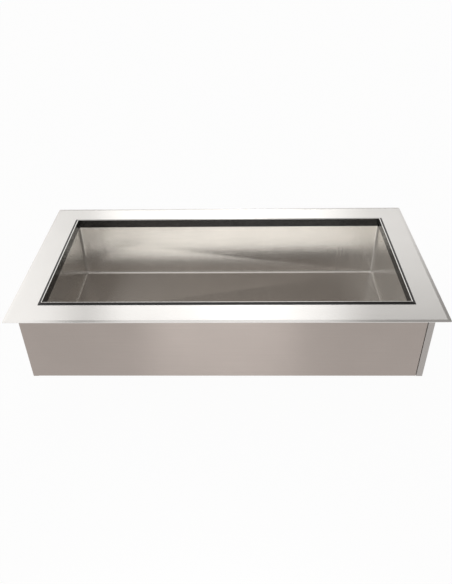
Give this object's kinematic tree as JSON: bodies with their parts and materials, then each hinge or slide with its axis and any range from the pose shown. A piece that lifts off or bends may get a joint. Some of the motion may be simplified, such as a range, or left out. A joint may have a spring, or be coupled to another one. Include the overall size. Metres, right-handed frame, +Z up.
{
  "type": "drop-in food well",
  "caption": "Insulated drop-in cold food well: a deep stainless tub under a wide flat flange, with a black thermal breaker rim, folded outer casing, floor drain and hold-down locks.",
  "frame": {"origin": "middle of the flange, on the plane of the counter's top face, which the sealing tape rests on", "axes": "+Z up out of the well, +X to the right along the long side, +Y to the back"},
  "size_m": [1.32, 0.7, 0.3137],
  "materials": {
    "flange_steel": "satin",
    "liner_steel": "satin",
    "casing_steel": "satin",
    "breaker_plastic": "satin",
    "foam": "matte",
    "seal_tape": "matte",
    "rivet_metal": "satin",
    "drain_steel": "polished",
    "drain_rubber": "matte",
    "fibre": "matte",
    "brass": "satin",
    "lock_zinc": "satin"
  },
  "bodies": {
    "well": {"flange_frame": "flange_steel", "liner": "liner_steel", "breaker_front": "breaker_plastic", "casing_front": "casing_steel", "insulation_front": "foam", "breaker_right": "breaker_plastic", "casing_right": "casing_steel", "insulation_right": "foam", "breaker_back": "breaker_plastic", "casing_back": "casing_steel", "insulation_back": "foam", "breaker_left": "breaker_plastic", "casing_left": "casing_steel", "insulation_left": "foam", "casing_base": "casing_steel", "insulation_base": "foam", "base_rivets": "rivet_metal", "lock_rivets": "rivet_metal", "counter_gasket": "seal_tape", "drain_body": "drain_steel", "drain_tail": "drain_steel", "drain_gasket": "drain_rubber", "drain_collar": "drain_rubber", "drain_washer": "fibre", "drain_locknut": "brass", "lock_bracket_right_front": "lock_zinc", "lock_bracket_right_back": "lock_zinc", "lock_bracket_left_front": "lock_zinc", "lock_bracket_left_back": "lock_zinc"},
    "strainer": {"drain_strainer": "drain_steel"},
    "screw_right_front": {"lock_screw_right_front": "lock_zinc"},
    "dog_right_front": {"lock_dog_right_front": "lock_zinc"},
    "screw_right_back": {"lock_screw_right_back": "lock_zinc"},
    "dog_right_back": {"lock_dog_right_back": "lock_zinc"},
    "screw_left_front": {"lock_screw_left_front": "lock_zinc"},
    "dog_left_front": {"lock_dog_left_front": "lock_zinc"},
    "screw_left_back": {"lock_screw_left_back": "lock_zinc"},
    "dog_left_back": {"lock_dog_left_back": "lock_zinc"}
  },
  "joints": [
    {"name": "strainer_lift", "type": "slide", "parent": "well", "child": "strainer", "axis": [0, 0, 1], "range_m": [0, 0.25]},
    {"name": "lock_turn_right_front", "type": "hinge", "parent": "well", "child": "screw_right_front", "pos_m": [0.6345, -0.17, -0.05], "axis": [0, 0, 1], "range_deg": [0, 90]},
    {"name": "lock_climb_right_front", "type": "slide", "parent": "screw_right_front", "child": "dog_right_front", "axis": [0, 0, 1], "range_m": [0, 0.045]},
    {"name": "lock_turn_right_back", "type": "hinge", "parent": "well", "child": "screw_right_back", "pos_m": [0.6345, 0.17, -0.05], "axis": [0, 0, 1], "range_deg": [0, 90]},
    {"name": "lock_climb_right_back", "type": "slide", "parent": "screw_right_back", "child": "dog_right_back", "axis": [0, 0, 1], "range_m": [0, 0.045]},
    {"name": "lock_turn_left_front", "type": "hinge", "parent": "well", "child": "screw_left_front", "pos_m": [-0.6345, -0.17, -0.05], "axis": [0, 0, 1], "range_deg": [0, 90]},
    {"name": "lock_climb_left_front", "type": "slide", "parent": "screw_left_front", "child": "dog_left_front", "axis": [0, 0, 1], "range_m": [0, 0.045]},
    {"name": "lock_turn_left_back", "type": "hinge", "parent": "well", "child": "screw_left_back", "pos_m": [-0.6345, 0.17, -0.05], "axis": [0, 0, 1], "range_deg": [0, 90]},
    {"name": "lock_climb_left_back", "type": "slide", "parent": "screw_left_back", "child": "dog_left_back", "axis": [0, 0, 1], "range_m": [0, 0.045]}
  ]
}
